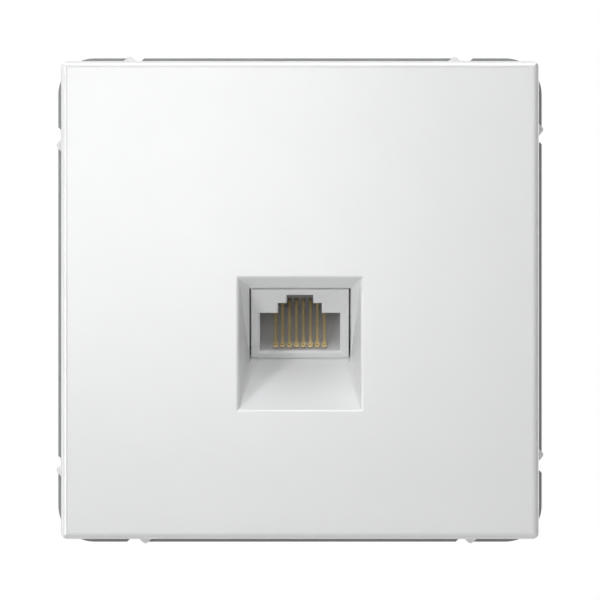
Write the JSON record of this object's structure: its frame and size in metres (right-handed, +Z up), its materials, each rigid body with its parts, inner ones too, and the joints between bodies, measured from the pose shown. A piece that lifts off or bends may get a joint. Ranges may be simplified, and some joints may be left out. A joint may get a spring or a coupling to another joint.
{
  "type": "ethernet wall socket",
  "caption": "Square flush wall socket with a data port facing down in a scooped recess, on a steel support plate with fixing claws and wire terminals behind.",
  "frame": {"origin": "middle of the support plate's rear face, in the plane of the wall", "axes": "+X right, +Y into the wall, +Z up; the cover faces -Y"},
  "size_m": [0.0712, 0.0315, 0.0712],
  "materials": {
    "cover_plastic": "gloss moulded",
    "plate_steel": "zinc plated sheet",
    "carrier_plastic": "matt moulded",
    "jack_plastic": "satin moulded",
    "insert_plastic": "matt moulded",
    "board_laminate": "solder mask",
    "terminal_plastic": "matt moulded",
    "contact_gold": "gold plated spring strip",
    "blade_tin": "tin plated",
    "claw_steel": "zinc plated",
    "screw_steel": "zinc plated"
  },
  "bodies": {
    "socket": {"front_cover": "cover_plastic", "support_plate": "plate_steel", "module_carrier": "carrier_plastic", "jack_housing": "jack_plastic", "contact_insert": "insert_plastic", "contact_1": "contact_gold", "contact_2": "contact_gold", "contact_3": "contact_gold", "contact_4": "contact_gold", "contact_5": "contact_gold", "contact_6": "contact_gold", "contact_7": "contact_gold", "contact_8": "contact_gold", "circuit_board": "board_laminate", "terminal_block_upper": "terminal_plastic", "terminal_block_lower": "terminal_plastic", "idc_blade_1": "blade_tin", "idc_blade_2": "blade_tin", "idc_blade_3": "blade_tin", "idc_blade_4": "blade_tin", "idc_blade_5": "blade_tin", "idc_blade_6": "blade_tin", "idc_blade_7": "blade_tin", "idc_blade_8": "blade_tin", "claw_pin_left": "screw_steel", "claw_pin_right": "screw_steel"},
    "claw_screw_left": {"claw_screw_left": "screw_steel"},
    "claw_left": {"claw_left": "claw_steel"},
    "claw_nut_left": {"claw_nut_left": "screw_steel"},
    "claw_screw_right": {"claw_screw_right": "screw_steel"},
    "claw_right": {"claw_right": "claw_steel"},
    "claw_nut_right": {"claw_nut_right": "screw_steel"}
  },
  "joints": [
    {"name": "claw_screw_left_turn", "type": "hinge", "parent": "socket", "child": "claw_screw_left", "pos_m": [-0.021, 0, 0], "axis": [0, 1, 0], "range_deg": [0, 1418.5]},
    {"name": "claw_left_swing", "type": "hinge", "parent": "socket", "child": "claw_left", "pos_m": [-0.014, 0.007, 0], "axis": [0, 0, 1], "range_deg": [0, 25]},
    {"name": "claw_nut_left_travel", "type": "slide", "parent": "socket", "child": "claw_nut_left", "axis": [0, -1, 0], "range_m": [0, 0.00197]},
    {"name": "claw_screw_right_turn", "type": "hinge", "parent": "socket", "child": "claw_screw_right", "pos_m": [0.021, 0, 0], "axis": [0, 1, 0], "range_deg": [0, 1418.5]},
    {"name": "claw_right_swing", "type": "hinge", "parent": "socket", "child": "claw_right", "pos_m": [0.014, 0.007, 0], "axis": [0, 0, -1], "range_deg": [0, 25]},
    {"name": "claw_nut_right_travel", "type": "slide", "parent": "socket", "child": "claw_nut_right", "axis": [0, -1, 0], "range_m": [0, 0.00197]}
  ],
  "couplings": [
    {"joint": "claw_screw_left_turn", "follows": "claw_nut_left_travel", "rad_per_m": 12566},
    {"joint": "claw_left_swing", "follows": "claw_nut_left_travel", "rad_per_m": 221.48},
    {"joint": "claw_screw_right_turn", "follows": "claw_nut_right_travel", "rad_per_m": 12566},
    {"joint": "claw_right_swing", "follows": "claw_nut_right_travel", "rad_per_m": 221.48}
  ]
}
